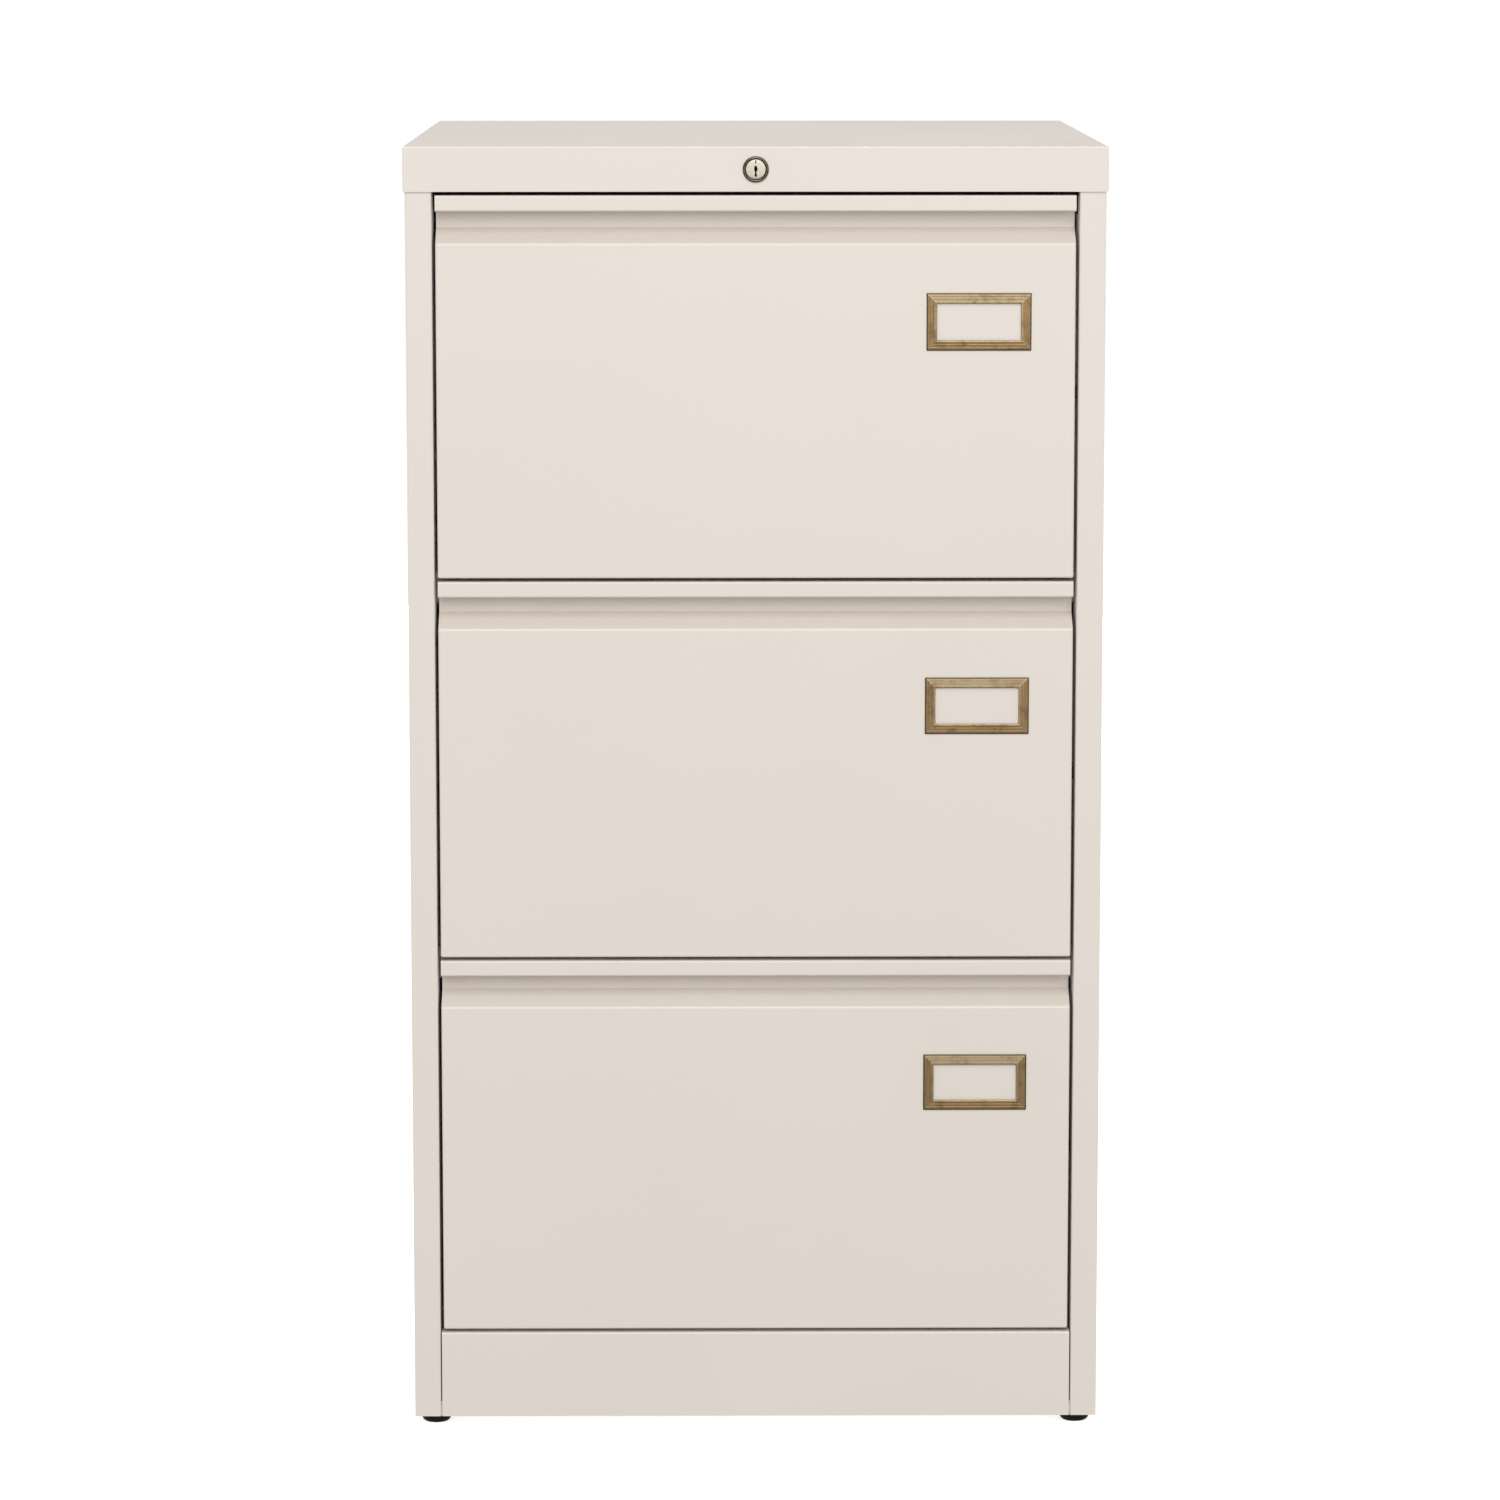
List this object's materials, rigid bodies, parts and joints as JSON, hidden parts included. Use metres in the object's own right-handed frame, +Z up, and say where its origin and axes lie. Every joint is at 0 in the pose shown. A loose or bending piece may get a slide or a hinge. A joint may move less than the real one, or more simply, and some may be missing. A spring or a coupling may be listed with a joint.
{
  "type": "filing cabinet",
  "caption": "Tall folded-steel filing cabinet with full-width finger-grip drawers on ball slides, brass label holders, a lid lock and low glides.",
  "frame": {"origin": "on the floor, under the middle of the cabinet's bounding box", "axes": "+Z up, -Y out of the drawer fronts, +X to the right as seen from the front"},
  "size_m": [0.55, 0.612, 1.022],
  "materials": {
    "paint": "satin cream powder coat",
    "zinc_steel": "bright zinc plate",
    "lock_rim": "polished",
    "lock_face": "brushed nickel",
    "brass": "aged, matt lacquer",
    "black_plastic": "moulded black",
    "rubber": "matt black"
  },
  "bodies": {
    "cabinet": {"lid": "paint", "side_panel_left": "paint", "side_panel_right": "paint", "back_panel": "paint", "base_pan": "paint", "plinth": "paint", "cross_rails": "paint", "slide_uprights": "zinc_steel", "foot_glides": "black_plastic", "body_screws": "zinc_steel", "drawer_stops": "rubber", "lock_barrel": "lock_rim", "lock_nut": "zinc_steel", "linkage_guides": "zinc_steel", "crank_bracket": "zinc_steel", "slide_outers_1": "zinc_steel", "slide_outers_2": "zinc_steel", "slide_outers_3": "zinc_steel"},
    "drawer_1": {"drawer_front_1": "paint", "front_liner_1": "paint", "drawer_tub_1": "paint", "drawer_back_1": "paint", "file_rails_1": "zinc_steel", "label_holder_1": "brass", "lock_lug_1": "zinc_steel", "slide_inners_1": "zinc_steel", "slide_screws_1": "zinc_steel"},
    "middle_slides_1": {"slide_middles_1": "zinc_steel"},
    "outer_cages_1": {"outer_cages_1": "zinc_steel"},
    "inner_cages_1": {"inner_cages_1": "zinc_steel"},
    "drawer_2": {"drawer_front_2": "paint", "front_liner_2": "paint", "drawer_tub_2": "paint", "drawer_back_2": "paint", "file_rails_2": "zinc_steel", "label_holder_2": "brass", "lock_lug_2": "zinc_steel", "slide_inners_2": "zinc_steel", "slide_screws_2": "zinc_steel"},
    "middle_slides_2": {"slide_middles_2": "zinc_steel"},
    "outer_cages_2": {"outer_cages_2": "zinc_steel"},
    "inner_cages_2": {"inner_cages_2": "zinc_steel"},
    "drawer_3": {"drawer_front_3": "paint", "front_liner_3": "paint", "drawer_tub_3": "paint", "drawer_back_3": "paint", "file_rails_3": "zinc_steel", "label_holder_3": "brass", "lock_lug_3": "zinc_steel", "slide_inners_3": "zinc_steel", "slide_screws_3": "zinc_steel"},
    "middle_slides_3": {"slide_middles_3": "zinc_steel"},
    "outer_cages_3": {"outer_cages_3": "zinc_steel"},
    "inner_cages_3": {"inner_cages_3": "zinc_steel"},
    "lock_plug": {"lock_plug": "lock_face", "lock_cam": "zinc_steel"},
    "lock_bar": {"lock_bar": "zinc_steel"},
    "bell_crank": {"bell_crank": "zinc_steel"},
    "lock_rod": {"lock_rod": "zinc_steel", "rod_hooks": "zinc_steel"}
  },
  "joints": [
    {"name": "drawer_1_slide", "type": "slide", "parent": "cabinet", "child": "drawer_1", "axis": [0, -1, 0], "range_m": [0, 0.5]},
    {"name": "middle_1_slide", "type": "slide", "parent": "cabinet", "child": "middle_slides_1", "axis": [0, -1, 0], "range_m": [0, 0.25]},
    {"name": "outer_cages_1_slide", "type": "slide", "parent": "cabinet", "child": "outer_cages_1", "axis": [0, -1, 0], "range_m": [0, 0.125]},
    {"name": "inner_cages_1_slide", "type": "slide", "parent": "cabinet", "child": "inner_cages_1", "axis": [0, -1, 0], "range_m": [0, 0.375]},
    {"name": "drawer_2_slide", "type": "slide", "parent": "cabinet", "child": "drawer_2", "axis": [0, -1, 0], "range_m": [0, 0.5]},
    {"name": "middle_2_slide", "type": "slide", "parent": "cabinet", "child": "middle_slides_2", "axis": [0, -1, 0], "range_m": [0, 0.25]},
    {"name": "outer_cages_2_slide", "type": "slide", "parent": "cabinet", "child": "outer_cages_2", "axis": [0, -1, 0], "range_m": [0, 0.125]},
    {"name": "inner_cages_2_slide", "type": "slide", "parent": "cabinet", "child": "inner_cages_2", "axis": [0, -1, 0], "range_m": [0, 0.375]},
    {"name": "drawer_3_slide", "type": "slide", "parent": "cabinet", "child": "drawer_3", "axis": [0, -1, 0], "range_m": [0, 0.5]},
    {"name": "middle_3_slide", "type": "slide", "parent": "cabinet", "child": "middle_slides_3", "axis": [0, -1, 0], "range_m": [0, 0.25]},
    {"name": "outer_cages_3_slide", "type": "slide", "parent": "cabinet", "child": "outer_cages_3", "axis": [0, -1, 0], "range_m": [0, 0.125]},
    {"name": "inner_cages_3_slide", "type": "slide", "parent": "cabinet", "child": "inner_cages_3", "axis": [0, -1, 0], "range_m": [0, 0.375]},
    {"name": "lock_turn", "type": "hinge", "parent": "cabinet", "child": "lock_plug", "pos_m": [0, -0.304, 1.0045], "axis": [0, 1, 0], "range_deg": [0, 90.02]},
    {"name": "lock_bar_slide", "type": "slide", "parent": "cabinet", "child": "lock_bar", "axis": [-1, 0, 0], "range_m": [0, 0.01273]},
    {"name": "crank_turn", "type": "hinge", "parent": "cabinet", "child": "bell_crank", "pos_m": [0.2445, -0.276, 0.9794], "axis": [0, -1, 0], "range_deg": [0, 41.43]},
    {"name": "rod_lift", "type": "slide", "parent": "cabinet", "child": "lock_rod", "axis": [0, 0, 1], "range_m": [0, 0.01273]}
  ],
  "couplings": [
    {"joint": "middle_1_slide", "follows": "drawer_1_slide", "ratio": 0.5},
    {"joint": "outer_cages_1_slide", "follows": "drawer_1_slide", "ratio": 0.25},
    {"joint": "inner_cages_1_slide", "follows": "drawer_1_slide", "ratio": 0.75},
    {"joint": "middle_2_slide", "follows": "drawer_2_slide", "ratio": 0.5},
    {"joint": "outer_cages_2_slide", "follows": "drawer_2_slide", "ratio": 0.25},
    {"joint": "inner_cages_2_slide", "follows": "drawer_2_slide", "ratio": 0.75},
    {"joint": "middle_3_slide", "follows": "drawer_3_slide", "ratio": 0.5},
    {"joint": "outer_cages_3_slide", "follows": "drawer_3_slide", "ratio": 0.25},
    {"joint": "inner_cages_3_slide", "follows": "drawer_3_slide", "ratio": 0.75},
    {"joint": "lock_bar_slide", "follows": "rod_lift", "ratio": 1},
    {"joint": "crank_turn", "follows": "rod_lift", "rad_per_m": 56.783},
    {"joint": "lock_turn", "follows": "rod_lift", "rad_per_m": 123.41}
  ]
}
